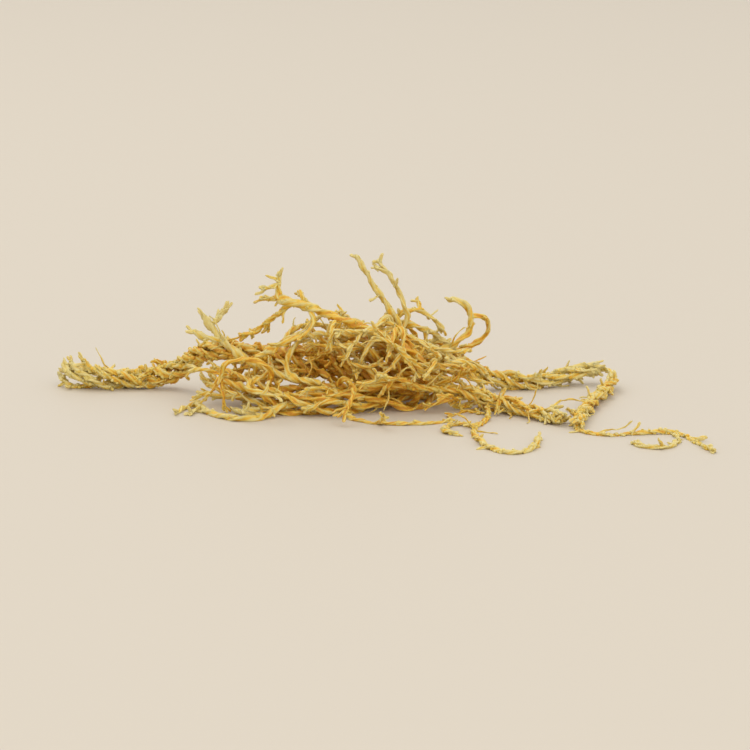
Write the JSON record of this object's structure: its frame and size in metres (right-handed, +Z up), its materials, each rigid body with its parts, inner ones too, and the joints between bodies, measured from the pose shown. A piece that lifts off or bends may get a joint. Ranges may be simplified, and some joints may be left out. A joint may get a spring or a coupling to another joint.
{
  "type": "dried irish moss seaweed tuft",
  "caption": "Loose tuft of dried Irish moss: a low tangle of branching, wiry fronds with twisted arms and thin loops, lying flat as a culinary or craft ingredient.",
  "frame": {"origin": "under the middle of the tuft's box, on the surface that it lies on", "axes": "+X along the tuft towards its thin runner, +Y from the loops in front to the arms behind, +Z up"},
  "size_m": [0.0925, 0.0516, 0.0222],
  "materials": {
    "left_rope_frond_gold": "dried seaweed, golden, waxy and slightly translucent",
    "left_fork_frond_straw": "dried seaweed, pale straw, waxy and slightly translucent",
    "antler_frond_gold": "dried seaweed, golden, waxy and slightly translucent",
    "tall_pair_frond_straw": "dried seaweed, pale straw, waxy and slightly translucent",
    "hook_frond_gold": "dried seaweed, golden, waxy and slightly translucent",
    "right_arm_frond_gold": "dried seaweed, golden, waxy and slightly translucent",
    "front_arc_frond_straw": "dried seaweed, pale straw, waxy and slightly translucent",
    "front_loops_frond_gold": "dried seaweed, golden, waxy and slightly translucent",
    "front_mat_frond_amber": "dried seaweed, amber, waxy and slightly translucent",
    "crown_frond_gold": "dried seaweed, golden, waxy and slightly translucent",
    "low_heap_frond_amber": "dried seaweed, amber, waxy and slightly translucent",
    "middle_heap_frond_amber": "dried seaweed, amber, waxy and slightly translucent",
    "back_heap_frond_gold": "dried seaweed, golden, waxy and slightly translucent",
    "upper_heap_frond_gold": "dried seaweed, golden, waxy and slightly translucent"
  },
  "bodies": {
    "root": {"left_rope_frond": "left_rope_frond_gold", "left_fork_frond": "left_fork_frond_straw", "antler_frond": "antler_frond_gold", "tall_pair_frond": "tall_pair_frond_straw", "hook_frond": "hook_frond_gold", "right_arm_frond": "right_arm_frond_gold", "front_arc_frond": "front_arc_frond_straw", "front_loops_frond": "front_loops_frond_gold", "front_mat_frond": "front_mat_frond_amber", "crown_frond": "crown_frond_gold", "low_heap_frond": "low_heap_frond_amber", "middle_heap_frond": "middle_heap_frond_amber", "back_heap_frond": "back_heap_frond_gold", "upper_heap_frond": "upper_heap_frond_gold"}
  },
  "joints": []
}
